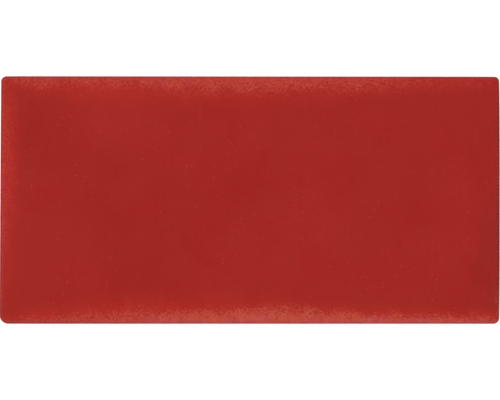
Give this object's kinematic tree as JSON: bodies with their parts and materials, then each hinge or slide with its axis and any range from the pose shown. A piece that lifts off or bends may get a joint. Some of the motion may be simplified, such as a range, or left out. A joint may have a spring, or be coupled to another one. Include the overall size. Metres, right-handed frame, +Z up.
{
  "type": "clay bar",
  "caption": "Plain rectangular block of red detailing clay with softly rolled edges, kneaded and rubbed over wet paint to lift bonded dirt.",
  "frame": {"origin": "centre of the flat face that the bar lies on", "axes": "+X along the bar, +Y across it, +Z up through its thickness"},
  "size_m": [0.09, 0.0445, 0.014],
  "materials": {
    "clay": "satin"
  },
  "bodies": {
    "root": {"clay_bar": "clay"}
  },
  "joints": []
}
